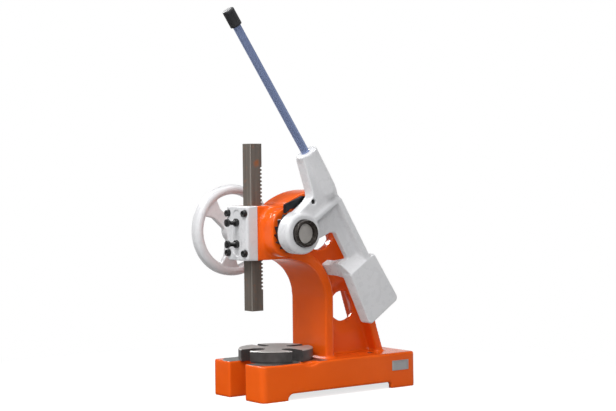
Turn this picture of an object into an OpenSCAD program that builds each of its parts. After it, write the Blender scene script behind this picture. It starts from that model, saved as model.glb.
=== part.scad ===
// Ratchet arbor press: a cast frame carries a square ram whose rack is driven by a pinion shaft.
// X runs to the lever side, Y to the back, Z up; the ram's axis crosses the bench at the origin.

/* [Base] */
// Width of the base casting
base_w = 240; // [210:1:280]
// Length of the base casting
base_l = 533; // [490:1:600]
// Height of the base casting
base_h = 98; // [80:1:115]
// Reach of the base in front of the ram's axis
base_front = 58; // [48:1:80]
// Radius of the base's upright corners
base_corner_r = 16; // [6:1:24]
// Width of the fork slot
fork_w = 74; // [60:1:90]
// Reach of the fork slot behind the ram's axis
fork_back = 32; // [24:1:40]
// Length of each front foot
front_foot_l = 85; // [60:1:110]
// Length of the rear foot
rear_foot_l = 90; // [60:1:110]
// Height of the relief between the feet
foot_h = 17; // [8:1:24]
// Wall of the rear foot, which runs round three sides
foot_wall = 16; // [10:1:30]
// Diameter of the bench bolt holes
bench_hole_d = 16; // [10:0.5:20]
// Spacing of the two bench bolt holes
bench_hole_gap = 122; // [110:1:150]
// Distance from the bench bolt holes to the rear of the base
bench_hole_back = 119; // [105:1:140]
// Length of the hand scallop in each side of the base top
scallop_l = 57; // [40:1:65]
// Depth of the hand scallop
scallop_d = 9; // [4:0.5:14]
// Reach of the hand scallop in from the side of the base
scallop_in = 24; // [14:1:28]
// Distance of the hand scallop behind the plate's pivot
scallop_back = 34; // [28:1:40]

/* [Table plate] */
// Diameter of the table plate
plate_d = 206; // [190:1:207]
// Thickness of the table plate
plate_t = 32; // [24:1:40]
// Distance of the plate's pivot behind the ram's axis
plate_back = 71; // [66:1:72]
// Width of the plate's widest slot
slot_w = 42; // [36:1:46]
// Step in width from each slot to the next
slot_step = 7; // [4:0.5:9]
// Solid radius left at the plate's centre
slot_core_r = 40; // [34:1:46]
// Edge chamfer of the plate
plate_chamfer = 2; // [0.5:0.5:4]
// Height of the step round the plate's underside
plate_step_h = 4; // [2:0.5:8]
// Set-back of the step round the plate's underside
plate_step = 2.5; // [1:0.5:5]
// Diameter of the pivot pin
pivot_d = 25; // [16:1:30]
// Length of the pivot pin inside the plate
pivot_in_plate = 18; // [10:1:20]
// Length of the pivot pin inside the base
pivot_in_base = 40; // [25:1:50]

/* [Column] */
// Distance from the ram's axis to the column's front face
throat_d = 185; // [184:1:195]
// Radius of the throat's curve
throat_r = 115; // [105:1:120]
// Width of the front flange
front_flange_w = 160; // [140:1:170]
// Thickness of the front flange
front_flange_t = 28; // [22:1:32]
// Width of the rear flange
rear_flange_w = 100; // [80:1:108]
// Thickness of the rear flange
rear_flange_t = 24; // [18:1:28]
// Thickness of the web between the flanges
web_t = 30; // [20:1:40]
// Gap from the foot of the rear flange to the rear of the base
column_back_gap = 61; // [45:1:75]
// Radius of the crown at the top of the column
crown_r = 90; // [84:1:96]
// Distance of the crown's centre behind the ram's axis
crown_back = 200; // [192:1:210]
// Radius of the bowed crest between the head and the crown
crest_r = 215; // [200:1:250]
// Height of the crown's centre above the pinion axis
crown_up = 22; // [16:1:26]
// Radius of the round web window behind the pinion
upper_window_r = 50; // [40:1:54]
// Distance of the round window's centre behind the ram's axis
upper_window_back = 215; // [210:1:220]
// Depth of the round window's centre below the pinion axis
upper_window_drop = 7; // [2:1:12]
// Width of the lower web window
lower_window_w = 82; // [66:1:86]
// Height of the lower web window
lower_window_h = 92; // [76:1:100]
// Corner radius of the lower web window
lower_window_r = 28; // [15:1:32]
// Lean of the lower web window
lower_window_lean = 8; // [0:1:14]
// Distance of the lower window's centre behind the front flange
lower_window_back = 97; // [86:1:98]
// Height of the lower window's centre above the base
lower_window_up = 133; // [125:1:140]

/* [Head] */
// Width of the head and of its cover
head_w = 100; // [94:1:110]
// Height of the head and of its cover
head_h = 147; // [140:1:156]
// Height of the head's underside above the bench
head_z = 375; // [365:1:390]
// Height of the pinion axis above the head's underside
axis_up = 75; // [70:1:78]
// Width of the pinion boss
boss_w = 94; // [90:1:100]
// Height of the pinion boss
boss_h = 132; // [124:1:138]
// Reach of the pinion boss to each side of the centre
boss_reach = 104; // [96:1:110]
// Thickness of the front cover
cover_t = 35; // [30:1:42]
// Radius of the cover's upright front corners
cover_corner_r = 7; // [3:0.5:10]
// Width of the shallow recess down the cover's face
cover_recess_w = 42; // [34:1:46]
// Depth of the shallow recess down the cover's face
cover_recess_d = 3; // [1:0.5:6]
// Depth of the cover screws' counterbores
head_sink = 4; // [1:0.5:8]
// Spacing of the cover screws across the cover
cover_screw_gap_x = 78; // [74:1:80]
// Spacing of the cover screws along the cover
cover_screw_gap_z = 107; // [100:1:116]
// Spacing of the two gib screws
gib_screw_gap = 58; // [48:1:66]
// Length of the gib screws outside their lock nuts
gib_screw_out = 19; // [12:1:26]
// Thickness of the gib plate
gib_t = 8; // [6:0.5:12]

/* [Ram and pinion] */
// Width of the square ram
ram_w = 38; // [36:0.5:40]
// Length of the ram
ram_l = 454; // [430:1:480]
// Reach of the ram below the head at rest
ram_drop = 139; // [132:1:146]
// Edge chamfer of the ram
ram_chamfer = 1.5; // [0.5:0.1:3]
// Module of the rack and pinion
tooth_module = 3.25; // [3:0.05:3.4]
// Number of pinion teeth
pinion_teeth = 14; // [13:1:15]
// Number of rack spaces
rack_spaces = 33; // [30:1:33]
// Number of rack spaces below the pinion axis at rest
spaces_below = 15; // [13:1:15]
// Width of the pinion's toothed face
pinion_face = 46; // [40:1:48]
// Diameter of the pinion shaft
shaft_d = 52; // [51:0.5:56]
// Wall of the shaft bushes
bush_wall = 5; // [4:0.5:6]
// Diameter of the bush flanges
bush_flange_d = 76; // [70:1:84]
// Thickness of the bush flanges
bush_flange_t = 4; // [3:0.5:6]

/* [Ratchet] */
// Diameter over the ratchet teeth
ratchet_d = 110; // [107:1:113]
// Thickness of the ratchet wheel's toothed disc
ratchet_t = 14; // [13:0.5:16]
// Length of the collar behind the ratchet teeth
ratchet_collar_l = 10; // [8:1:12]
// Number of ratchet teeth
ratchet_teeth = 16; // [15:1:17]
// Depth of the ratchet teeth
ratchet_tooth_h = 9; // [8:0.5:9.5]
// Turn of each tooth's tip past its root, which lays the face along the pawl's path
tooth_lean = 1.9; // [1.6:0.1:2.2]
// Flat at each ratchet tooth's tip, in degrees
tooth_land = 2; // [1:0.5:3]
// Clearance of the pawl over the ratchet teeth
pawl_clear = 2; // [1.5:0.1:2.5]
// Thickness of the pawl
pawl_t = 12; // [10:0.5:13]
// Distance of the pawl pin behind the shaft axis, across the rod
pawl_pin_v = 76; // [74:1:78]
// Distance of the pawl pin above the shaft axis, along the rod
pawl_pin_u = 49; // [47:0.5:51]
// Height of the pawl's end face
pawl_end_h = 21; // [18:1:24]
// Lean of the pawl's end face towards the pin
pawl_end_lean = 10; // [6:1:14]
// Diameter of the pawl pin
pawl_pin_d = 14; // [10:0.5:16]
// Radius of the pawl's eye
pawl_eye_r = 15; // [13:0.5:16]
// Angle that lifts the pawl from engaged to clear
pawl_lift = 9; // [9:0.5:12]
// Depth of the pawl pin's end below the yoke's face
pawl_pin_sink = 12; // [9:0.5:14]
// Thickness of the ring on the pawl pin's inner end
pin_ring_t = 2.5; // [2:0.1:3]
// Width of the ring on the pawl pin's inner end
pin_ring_w = 4; // [3:0.5:5]

/* [Lever yoke] */
// Lean of the lever rod from upright, at rest
lever_tilt = 33.6; // [32.8:0.1:34.4]
// Diameter of the yoke hub
hub_d = 112; // [108:1:116]
// Width of the yoke hub along the shaft
hub_l = 46; // [42:1:50]
// Edge chamfer of the yoke hub's outer face
hub_edge = 8; // [5:0.5:10]
// Depth of the yoke's arm behind the hub's outer face
arm_t = 42; // [40:1:45]
// Depth of the arm's dished face below the hub's face
arm_sink = 5; // [3:0.5:6]
// Depth of the arm's ribs below the hub's face
rib_sink = 1; // [0.6:0.1:1.5]
// Width of the rib along the arm's lower edge
arm_rib_w = 14; // [11:1:17]
// Thickness of the yoke's web
yoke_web_t = 20; // [14:1:24]
// Distance of the rod's axis behind the shaft axis
rod_back = 137; // [134:1:141]
// Outer diameter of the rod socket
socket_d = 62; // [61:0.5:64]
// Diameter of the rod socket at its mouth
socket_mouth_d = 57; // [54:0.5:60]
// Edge chamfer of the rod socket's top
socket_edge = 3; // [2:0.5:4]
// Height of the rod socket's toe above the shaft axis
socket_toe = 16; // [12:1:20]
// Reach of the rod socket above the shaft axis
socket_top = 167; // [155:1:175]
// Reach of the arm in front of the rod's axis, at the socket's top
arm_front = 25; // [24:0.5:26]
// Width of the arm where the socket meets it
socket_foot_w = 69; // [66:1:72]
// Height of the socket's foot above the shaft axis
socket_foot = 75; // [70:1:80]
// Width of the rear rib's outer face
rib_w = 17; // [14:1:20]
// Spread of the rear rib towards the web
rib_draft = 8; // [5:1:10]
// Lean of the rear rib from the rod's direction
rib_lean = 2.4; // [1.8:0.1:3]
// Reach of the beam's back behind the rod's axis
beam_back = 20; // [18:0.5:22]
// Width of the beam between the arm and the counterweight
beam_w = 57; // [53:1:60]
// Size of the bend between the hub and the beam
beam_bend = 12; // [8:1:16]
// Drop of the beam's front below the hub
beam_drop = 4; // [2:0.5:6]
// Spread of the beam's front towards the counterweight
beam_splay = 6; // [4:0.5:8]
// Reach of the counterweight's top below the shaft axis
weight_top = 184; // [181:1:187]
// Reach of the counterweight's foot below the shaft axis
weight_foot = 338; // [325:1:350]
// Width of the counterweight at its top
weight_top_w = 100; // [94:1:104]
// Width of the counterweight at its foot
weight_foot_w = 123; // [114:1:132]
// Thickness of the counterweight
weight_t = 39; // [34:1:42]
// Reach of the counterweight's back behind the rod's axis
weight_back = 26; // [24:0.5:28]
// Length of the counterweight's sloped shoulder along the beam
shoulder_l = 32; // [26:1:36]
// Width of the sloped shoulder
shoulder_w = 72; // [66:1:76]
// Radius of the counterweight's corners
weight_corner_r = 8; // [3:0.5:12]
// Width of the stop lug along the throat's curve
lug_w = 34; // [26:1:40]
// Thickness of the stop lug across the throat's curve
lug_t = 26; // [20:1:30]
// Angle of the stop lug round the throat's centre
lug_angle = 32; // [30:0.5:34]
// Shift of the stop lug up the throat's curve
lug_shift = 5.7; // [4:0.1:7]
// Flare of the stop lug towards the beam, on each side
lug_flare = 9; // [6:1:12]
// Reach of the stop lug behind the front flange's edge
lug_overlap = 14; // [8:1:20]

/* [Lever rod] */
// Diameter of the lever rod
rod_d = 22; // [18:0.5:26]
// Reach of the rod's end above the shaft axis
rod_top = 593; // [540:1:640]
// Length of the rod inside the socket
rod_in_socket = 95; // [80:1:105]
// Diameter of the end cap
cap_d = 32; // [29:0.5:36]
// Length of the end cap
cap_l = 48; // [40:1:56]
// Wall at the end of the cap
cap_end_t = 12; // [6:1:14]
// Edge chamfer of the cap
cap_edge = 3; // [1:0.5:4]

/* [Retaining ring] */
// Outer diameter of the retaining ring
ring_d = 71; // [68:0.5:74]
// Reach of the retaining ring outside the yoke hub
ring_out = 15; // [10:1:18]
// Length of the retaining ring inside the hub's counterbore
ring_in = 13; // [8:0.5:15]

/* [Handwheel] */
// Outer diameter of the handwheel
wheel_d = 256; // [240:1:264]
// Width of the handwheel's rim along the shaft
rim_w = 38; // [32:1:42]
// Thickness of the handwheel's rim across the shaft
rim_t = 27; // [22:1:30]
// Distance from the centre plane to the rim's middle
wheel_out = 162; // [158:1:172]
// Diameter of the handwheel's hub
wheel_hub_d = 70; // [66:1:80]
// Length of the handwheel's hub
wheel_hub_l = 58; // [54:1:66]
// Edge chamfer of the handwheel's hub
wheel_hub_edge = 4; // [2:0.5:6]
// Number of handwheel spokes
spokes = 3; // [3:1:5]
// Angle of the first spoke, from the back upwards
spoke_start = 20; // [0:1:60]
// Width of a spoke at the hub
spoke_w = 38; // [36:1:50]
// Width of a spoke at its neck
spoke_neck_w = 33; // [26:1:36]
// Width of a spoke at the rim
spoke_rim_w = 72; // [50:1:84]
// Thickness of the spokes
spoke_t = 18; // [14:1:20]
// Diameter of the shaft inside the handwheel
wheel_seat_d = 40; // [36:0.5:46]

/* [Fasteners] */
// Thread diameter of the cover and gib screws
screw_d = 12; // [10:1:12]
// Head diameter of the socket-head screws
socket_head_d = 18; // [16:0.5:20]
// Head height of the socket-head screws
socket_head_h = 12; // [10:0.5:14]
// Width across flats of the hexagons
hex_af = 19; // [17:0.5:20]
// Height of the lock nuts
nut_h = 10; // [8:0.5:12]
// Height of the gib screws' heads
hex_head_h = 8; // [6:0.5:10]
// Depth of the cover screws inside the frame
cover_screw_in = 24; // [18:1:30]
// Thickness of the handwheel washer
washer_t = 5; // [3:0.5:8]
// Spare depth at the bottom of blind holes
hole_spare = 1; // [0.5:0.5:3]
// Width of the shaft keys
key_w = 12; // [10:0.5:14]
// Height of the shaft keys
key_h = 8; // [8:0.5:10]

/* [Fits] */
// Running clearance of shafts and the ram, on each side
running_fit = 0.05; // [0.02:0.01:0.1]
// Clearance of seated pieces, on each side
seat_fit = 0.02; // [0.01:0.01:0.05]
// Axial clearance between turning faces
side_gap = 0.5; // [0.3:0.1:1]
// Axial gap on each side of the ratchet wheel
ratchet_gap = 1.5; // [1:0.1:2.5]
// Gap between the pinion's toothed face and the bushes
pinion_gap = 2; // [1:0.5:3]
// Clearance at the stop lug and round loose rims
stop_gap = 0.5; // [0.3:0.1:1]
// Working clearance between teeth, on the pitch line
backlash = 0.3; // [0.2:0.05:0.4]

/* [Hidden] */
$fn = 96;
through = 2;
lap = 2;

ram_half = ram_w / 2;
seam_y = -ram_half;
base_rear = base_l - base_front;
axis_z = head_z + axis_up;
head_top = head_z + head_h;
cover_y = seam_y - cover_t;
cover_z = head_z + head_h / 2;
recess_y = cover_y + cover_recess_d;
gib_y = seam_y - gib_t;

// Stub teeth: the addendum is short so that few teeth mesh without undercut
pressure_angle = 20;
addendum = 0.8 * tooth_module;
dedendum = 1.05 * tooth_module;
tooth_pitch = PI * tooth_module;
pinion_r = tooth_module * pinion_teeth / 2;
base_circle_r = pinion_r * cos(pressure_angle);
mesh_gap = 0.15;
axis_y = ram_half - addendum + pinion_r + mesh_gap;

// Shaft stations, outwards from the centre
boss_end = boss_reach + bush_flange_t;
ratchet_x = boss_end + ratchet_gap;
ratchet_end = ratchet_x + ratchet_collar_l + ratchet_t;
yoke_x = ratchet_end + ratchet_gap + side_gap;
yoke_end = yoke_x + hub_l;
arm_x = yoke_end - arm_t;
weight_x = yoke_end - weight_t;
rod_x = yoke_end - arm_t / 2;
shaft_end = yoke_end + 2 * side_gap;
wheel_x = -boss_end - side_gap;
wheel_end = wheel_x - wheel_hub_l;
bush_bore_d = shaft_d + 2 * bush_wall;
bush_inner_x = pinion_face / 2 + pinion_gap;

throat_y = throat_d - throat_r;
throat_z = head_z - throat_r;
flange_back_r = throat_r + front_flange_t;
column_foot_y = base_rear - column_back_gap;
crown = [crown_back, axis_z + crown_up];
crest = [axis_y + boss_w / 4, head_top - lap];
column_foot = [column_foot_y, base_h];

// The crown stands a little proud of the straight faces that run up to it
crown_swell = 0.4;

lug_r = flange_back_r + stop_gap + lug_t / 2;
lug_x = front_flange_w / 2 - lug_overlap;

// Angle of the engaged tooth's root, from straight across the rod
engage_angle = 80;

// The pawl sits midway in the width of the ratchet teeth
pawl_x = ratchet_end - (ratchet_t + pawl_t) / 2;

// Angle of the point where a line from p touches the circle of radius r about c
function touch_angle(p, c, r, side) =
    let (d = p - c)
    atan2(d[1], d[0]) + side * acos(r / norm(d));

function polar(r, a) = [r * cos(a), r * sin(a)];

// The crest's arc starts at the head and runs into the crown at crest_touch
crest_span = norm(crest - crown);
crest_more = crest_r - crown_r;
crest_touch = atan2(crest[1] - crown[1], crest[0] - crown[0])
    - acos((crest_r * crest_r - crest_more * crest_more - crest_span * crest_span) / 2 / crest_more / crest_span);
bow = crown - polar(crest_more, crest_touch);
crest_start = atan2(crest[1] - bow[1], crest[0] - bow[0]);

back_angle = touch_angle(column_foot, crown, crown_r, 1);

// Draws a side-view outline (Y across, Z up) and gives it a thickness centred on X = 0
module side_plate(t) {
    rotate([90, 0, 90])
        linear_extrude(height = t, center = true)
            children();
}

// Draws a side-view outline and gives it the span from x0 to x1
module side_span(x0, x1) {
    translate([x0, 0, 0])
        rotate([90, 0, 90])
            linear_extrude(height = x1 - x0)
                children();
}

// A cylinder along X from x0 to x1 about the shaft axis
module shaft_span(x0, x1, d) {
    translate([x0, axis_y, axis_z])
        rotate([0, 90, 0])
            cylinder(h = x1 - x0, d = d);
}

// Places lever pieces: local Y runs across the rod to the back, local Z along the rod
module on_lever() {
    translate([0, axis_y, axis_z])
        rotate([lever_tilt, 0, 0])
            children();
}

module hexagon(h, af) {
    cylinder(h = h, d = af / cos(30), $fn = 6);
}

// Outline of the column's back and crown, drawn inwards from the outer face by inset
module crown_outline(inset) {
    steps = 8;
    crest_line = [
        for (i = [0:steps]) bow + polar(crest_r - inset, crest_touch + (crest_start - crest_touch) * i / steps)
    ];
    foot_in = column_foot - polar(inset, back_angle);
    back_touch = crown + polar(crown_r - inset, back_angle);
    foot_slope = (foot_in[0] - back_touch[0]) / (foot_in[1] - back_touch[1]);
    foot_end = [foot_in[0] + foot_slope * (base_h - lap - foot_in[1]), base_h - lap];
    polygon(concat(
        [[throat_d + lap, base_h - lap], foot_end, back_touch], crest_line,
        [[throat_y - lap, throat_z + throat_r + lap], [throat_d + lap, throat_z]]
    ));
    translate(crown)
        circle(r = crown_r - inset + crown_swell);
}

// The front flange: upright from the base, then round the throat to the head
module throat_outline() {
    translate([throat_d, base_h - lap])
        square([front_flange_t, throat_z - base_h + lap]);
    intersection() {
        difference() {
            translate([throat_y, throat_z])
                circle(r = flange_back_r);
            translate([throat_y, throat_z])
                circle(r = throat_r);
        }
        translate([throat_y, throat_z])
            square(2 * flange_back_r);
    }
}

module window_outline() {
    translate([upper_window_back, axis_z - upper_window_drop])
        circle(r = upper_window_r);
    translate([throat_d + front_flange_t + lower_window_back, base_h + lower_window_up])
        rotate(lower_window_lean)
            rounded_plan(lower_window_w, lower_window_h, lower_window_r);
}

module base_block() {
    relief_l = base_l - front_foot_l - rear_foot_l;
    fork_r = fork_w / 2;
    scallop_r = (scallop_l * scallop_l / 4 + scallop_d * scallop_d) / (2 * scallop_d);
    scallop_y = plate_back + scallop_back;
    difference() {
        translate([0, base_rear - base_l / 2, 0])
            linear_extrude(height = base_h)
                rounded_plan(base_w, base_l, base_corner_r);
        translate([-fork_r, -base_front - through, -through])
            cube([fork_w, base_front + through + fork_back - fork_r, base_h + 2 * through]);
        translate([0, fork_back - fork_r, -through])
            cylinder(h = base_h + 2 * through, r = fork_r);
        translate([0, front_foot_l - base_front, 0])
            side_plate(base_w + 2 * through) {
                translate([foot_h, -through])
                    square([relief_l - foot_h, foot_h + through]);
                translate([foot_h, 0])
                    circle(r = foot_h);
            }
        for (side = [-1, 1]) {
            translate([side * bench_hole_gap / 2, base_rear - bench_hole_back, 0])
                cylinder(h = base_h + through, d = bench_hole_d);
            translate([side * base_w / 2, scallop_y, base_h + scallop_r - scallop_d])
                rotate([0, 90, 0])
                    cylinder(h = 2 * scallop_in, r = scallop_r, center = true);
        }
        translate([foot_wall - base_w / 2, base_rear - rear_foot_l - through, -through])
            cube([base_w - 2 * foot_wall, rear_foot_l + through - foot_wall, foot_h + through]);
        translate([0, plate_back, base_h - pivot_in_base])
            cylinder(h = pivot_in_base + through, d = pivot_d + 2 * seat_fit);
    }
}

// A rectangle with round corners, centred
module rounded_plan(w, l, r) {
    square([w - 2 * r, l], center = true);
    square([w, l - 2 * r], center = true);
    for (sx = [-1, 1], sy = [-1, 1])
        translate([sx * (w / 2 - r), sy * (l / 2 - r)])
            circle(r = r);
}

module boss_outline() {
    end_r = boss_w / 2;
    rise = boss_h / 2 - end_r;
    translate([axis_y, axis_z]) {
        square([boss_w, 2 * rise], center = true);
        for (side = [-1, 1])
            translate([0, side * rise])
                circle(r = end_r);
    }
}

module frame() {
    channel_half = ram_half + running_fit;
    color("darkorange")
    difference() {
        union() {
            base_block();
            side_plate(web_t)
                difference() {
                    crown_outline(rear_flange_t / 2);
                    translate([throat_y, throat_z])
                        circle(r = throat_r + front_flange_t / 2);
                    translate([throat_y - throat_r, base_h - 2 * lap])
                        square([2 * throat_r + front_flange_t / 2, throat_z - base_h + 2 * lap]);
                    window_outline();
                }
            side_plate(front_flange_w)
                throat_outline();
            side_plate(rear_flange_w)
                difference() {
                    crown_outline(0);
                    crown_outline(rear_flange_t);
                    translate([throat_y - throat_r, base_h - 2 * lap])
                        square([throat_r + front_flange_t, head_z + boss_h / 2 - base_h]);
                }
            translate([-head_w / 2, seam_y, head_z])
                cube([head_w, throat_y - seam_y, head_h]);
            side_plate(2 * boss_reach)
                boss_outline();
        }
        translate([-channel_half, seam_y - through, head_z - through])
            cube([2 * channel_half, ram_w + running_fit + through, head_h + 2 * through]);
        shaft_span(-boss_reach - through, boss_reach + through, bush_bore_d);
        cover_screw_places()
            translate([0, 0, -through])
                cylinder(h = cover_screw_in + through + hole_spare, d = screw_d + 2 * seat_fit);
    }
}

// The four cover screws' places on the seam, pointing into the head
module cover_screw_places() {
    for (sx = [-1, 1], sz = [-1, 1])
        translate([sx * cover_screw_gap_x / 2, seam_y, cover_z + sz * cover_screw_gap_z / 2])
            rotate([-90, 0, 0])
                children();
}

// The two gib screws' places on the gib plate, pointing forwards
module gib_screw_places() {
    for (sz = [-1, 1])
        translate([0, gib_y, cover_z + sz * gib_screw_gap / 2])
            rotate([90, 0, 0])
                children();
}

module front_cover() {
    recess_l = cover_screw_gap_z + socket_head_d - cover_recess_w;
    color("whitesmoke")
    difference() {
        translate([0, seam_y - cover_t / 2, head_z])
            linear_extrude(height = head_h) {
                translate([0, cover_corner_r / 2])
                    square([head_w, cover_t - cover_corner_r], center = true);
                square([head_w - 2 * cover_corner_r, cover_t], center = true);
                for (sx = [-1, 1])
                    translate([sx * (head_w / 2 - cover_corner_r), cover_corner_r - cover_t / 2])
                        circle(r = cover_corner_r);
            }
        translate([0, recess_y, cover_z])
            rotate([90, 0, 0])
                linear_extrude(height = cover_recess_d + through) {
                    square([cover_recess_w, recess_l], center = true);
                    for (sz = [-1, 1])
                        translate([0, sz * recess_l / 2])
                            circle(d = cover_recess_w);
                }
        translate([-ram_half - seat_fit, gib_y - seat_fit, head_z - through])
            cube([ram_w + 2 * seat_fit, gib_t + through, head_h + 2 * through]);
        cover_screw_places() {
            translate([0, 0, -cover_t - through])
                cylinder(h = cover_t + 2 * through, d = screw_d + 2 * seat_fit);
            translate([0, 0, -cover_t - through])
                cylinder(h = head_sink + through, d = socket_head_d + 2 * stop_gap);
        }
        gib_screw_places()
            cylinder(h = cover_t, d = screw_d + 2 * seat_fit);
    }
}

module cover_screws() {
    socket_af = screw_d * 0.8;
    seat = head_sink - cover_t;
    color("dimgray")
    cover_screw_places()
        difference() {
            union() {
                translate([0, 0, seat])
                    cylinder(h = cover_screw_in - seat, d = screw_d);
                translate([0, 0, seat - socket_head_h])
                    cylinder(h = socket_head_h, d = socket_head_d);
            }
            translate([0, 0, seat - socket_head_h - through])
                hexagon(socket_head_h / 2 + through, socket_af);
        }
}

module gib_plate() {
    color("slategray")
    translate([-ram_half, gib_y, head_z])
        cube([ram_w, gib_t - running_fit, head_h]);
}

module gib_screws() {
    shank = gib_y - recess_y + nut_h + gib_screw_out;
    color("dimgray")
    gib_screw_places() {
        cylinder(h = shank, d = screw_d);
        translate([0, 0, shank])
            hexagon(hex_head_h, hex_af);
    }
}

module gib_lock_nuts() {
    color("dimgray")
    gib_screw_places()
        translate([0, 0, gib_y - recess_y])
            difference() {
                hexagon(nut_h, hex_af);
                translate([0, 0, -through])
                    cylinder(h = nut_h + 2 * through, d = screw_d + 2 * seat_fit);
            }
}

// One flanged bush, on the side given by its sign
module shaft_bush(side) {
    mirror([side < 0 ? 1 : 0, 0, 0])
        difference() {
            union() {
                shaft_span(bush_inner_x, boss_reach + lap, bush_bore_d - 2 * seat_fit);
                shaft_span(boss_reach, boss_end, bush_flange_d);
            }
            shaft_span(bush_inner_x - through, boss_end + through, shaft_d + 2 * running_fit);
            translate([0, 0, head_z])
                cube([bush_inner_x, ram_w + 2 * running_fit, head_h]);
        }
}

module left_bush() {
    color("peru")
    shaft_bush(-1);
}

module right_bush() {
    color("peru")
    shaft_bush(1);
}

module table_pivot() {
    color("gray")
    translate([0, plate_back, base_h - pivot_in_base])
        cylinder(h = pivot_in_base + pivot_in_plate, d = pivot_d);
}

// Trapezoid space between two rack teeth, centred on the pitch line and open to +Y
module rack_space() {
    half = (tooth_pitch / 2 + backlash / 2) / 2;
    grow = tan(pressure_angle);
    top = addendum + 1;
    polygon([
        [-dedendum, -half + dedendum * grow], [top, -half - top * grow],
        [top, half + top * grow], [-dedendum, half - dedendum * grow]
    ]);
}

module ram() {
    // A rack space faces the pinion at rest
    rack_low = axis_z - spaces_below * tooth_pitch;
    color("gray")
    difference() {
        translate([0, 0, head_z - ram_drop])
            linear_extrude(height = ram_l)
                difference() {
                    square(ram_w, center = true);
                    for (a = [45:90:315])
                        rotate(a)
                            translate([ram_w / sqrt(2) - ram_chamfer / sqrt(2), -ram_w / 2])
                                square(ram_w);
                }
        side_plate(ram_w + 2 * through)
            for (i = [0:rack_spaces - 1])
                translate([ram_half - addendum, rack_low + i * tooth_pitch])
                    rack_space();
    }
}

function involute(a) = tan(a) * 180 / PI - a;

// Half of a pinion tooth's angle at radius r
function tooth_half_angle(r) =
    90 / pinion_teeth - backlash / 4 / pinion_r * 180 / PI
    + involute(pressure_angle) - involute(acos(min(1, base_circle_r / r)));

module pinion_outline() {
    tip_r = pinion_r + addendum;
    root_r = pinion_r - dedendum;
    steps = 5;
    flank = [for (i = [0:steps]) base_circle_r + (tip_r - base_circle_r) * i / steps];
    circle(r = root_r);
    for (i = [0:pinion_teeth - 1])
        rotate(180 + i * 360 / pinion_teeth)
            polygon(concat(
                [polar(root_r - lap, -tooth_half_angle(base_circle_r))],
                [for (r = flank) polar(r, -tooth_half_angle(r))],
                [for (k = [0:steps]) polar(flank[steps - k], tooth_half_angle(flank[steps - k]))],
                [polar(root_r - lap, tooth_half_angle(base_circle_r))]
            ));
}

// Key space of width key_w, standing out of a seat of diameter d from x0 to x1
module key_space(x0, x1, d, clear) {
    translate([x0, axis_y - key_w / 2 - clear, axis_z + d / 2 - key_h / 2 - clear])
        cube([x1 - x0, key_w + 2 * clear, key_h + 2 * clear]);
}

module pinion_shaft() {
    half_face = pinion_face / 2;
    color("silver")
    difference() {
        union() {
            shaft_span(half_face - lap, shaft_end, shaft_d);
            shaft_span(wheel_x + side_gap / 2, lap - half_face, shaft_d);
            shaft_span(wheel_end, wheel_x + lap, wheel_seat_d);
            translate([0, axis_y, axis_z])
                side_plate(pinion_face)
                    pinion_outline();
        }
        key_space(ratchet_x, ratchet_end, shaft_d, seat_fit);
        key_space(wheel_end - through, wheel_x, wheel_seat_d, seat_fit);
        shaft_span(wheel_end - through, wheel_end + cover_screw_in + through, screw_d + 2 * seat_fit);
    }
}

module ratchet_outline() {
    tip_r = ratchet_d / 2;
    root_r = tip_r - ratchet_tooth_h;
    step = 360 / ratchet_teeth;
    polygon([
        for (i = [0:ratchet_teeth - 1])
            for (p = [[root_r, 0], [tip_r, tooth_lean], [tip_r, tooth_lean + tooth_land]])
                polar(p[0], lever_tilt + engage_angle + i * step + p[1])
    ]);
}

module ratchet_wheel() {
    color("dimgray")
    difference() {
        union() {
            translate([0, axis_y, axis_z])
                side_span(ratchet_end - ratchet_t, ratchet_end)
                    ratchet_outline();
            shaft_span(ratchet_x, ratchet_end - lap, bush_flange_d);
        }
        shaft_span(ratchet_x - through, ratchet_end + through, shaft_d + 2 * seat_fit);
        key_space(ratchet_x - through, ratchet_end + through, shaft_d, seat_fit);
    }
}

module ratchet_key() {
    color("gray")
    key_space(ratchet_x, ratchet_end, shaft_d, 0);
}

module retaining_ring() {
    color("black")
    difference() {
        shaft_span(yoke_end - ring_in, yoke_end + ring_out, ring_d);
        shaft_span(yoke_end - ring_in - through, yoke_end + ring_out + through, shaft_d + 2 * seat_fit);
    }
}

// The handwheel is drawn about Z with the frame side at z = 0, then laid along -X
module handwheel_place() {
    translate([wheel_x, axis_y, axis_z])
        rotate([0, -90, 0])
            children();
}

module handwheel() {
    rim_z = wheel_out + wheel_x;
    rim_r = wheel_d / 2 - rim_t / 2;
    edge_r = rim_t / 2;
    rim_flat = rim_w - rim_t;
    hub_r = wheel_hub_d / 2;
    spoke_z = min(rim_z - spoke_t / 2, wheel_hub_l - spoke_t - wheel_hub_edge / 2);
    neck_r = (hub_r + rim_r) / 2;
    difference() {
        color("whitesmoke")
        handwheel_place()
            union() {
                rotate_extrude()
                    translate([rim_r, rim_z]) {
                        square([rim_t, rim_flat], center = true);
                        for (side = [-1, 1])
                            translate([0, side * rim_flat / 2])
                                circle(r = edge_r);
                    }
                rotate_extrude()
                    polygon([
                        [0, 0], [hub_r - wheel_hub_edge, 0], [hub_r, wheel_hub_edge],
                        [hub_r, wheel_hub_l - wheel_hub_edge],
                        [hub_r - wheel_hub_edge, wheel_hub_l], [0, wheel_hub_l]
                    ]);
                for (i = [0:spokes - 1])
                    rotate(90 - spoke_start - i * 360 / spokes)
                        translate([0, 0, spoke_z])
                            linear_extrude(height = spoke_t)
                                polygon([
                                    [0, -spoke_w / 2], [neck_r, -spoke_neck_w / 2],
                                    [rim_r, -spoke_rim_w / 2], [rim_r, spoke_rim_w / 2],
                                    [neck_r, spoke_neck_w / 2], [0, spoke_w / 2]
                                ]);
            }
        shaft_span(wheel_end - through, wheel_x + through, wheel_seat_d + 2 * seat_fit);
        key_space(wheel_end - through, wheel_x + through, wheel_seat_d, seat_fit);
    }
}

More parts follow.
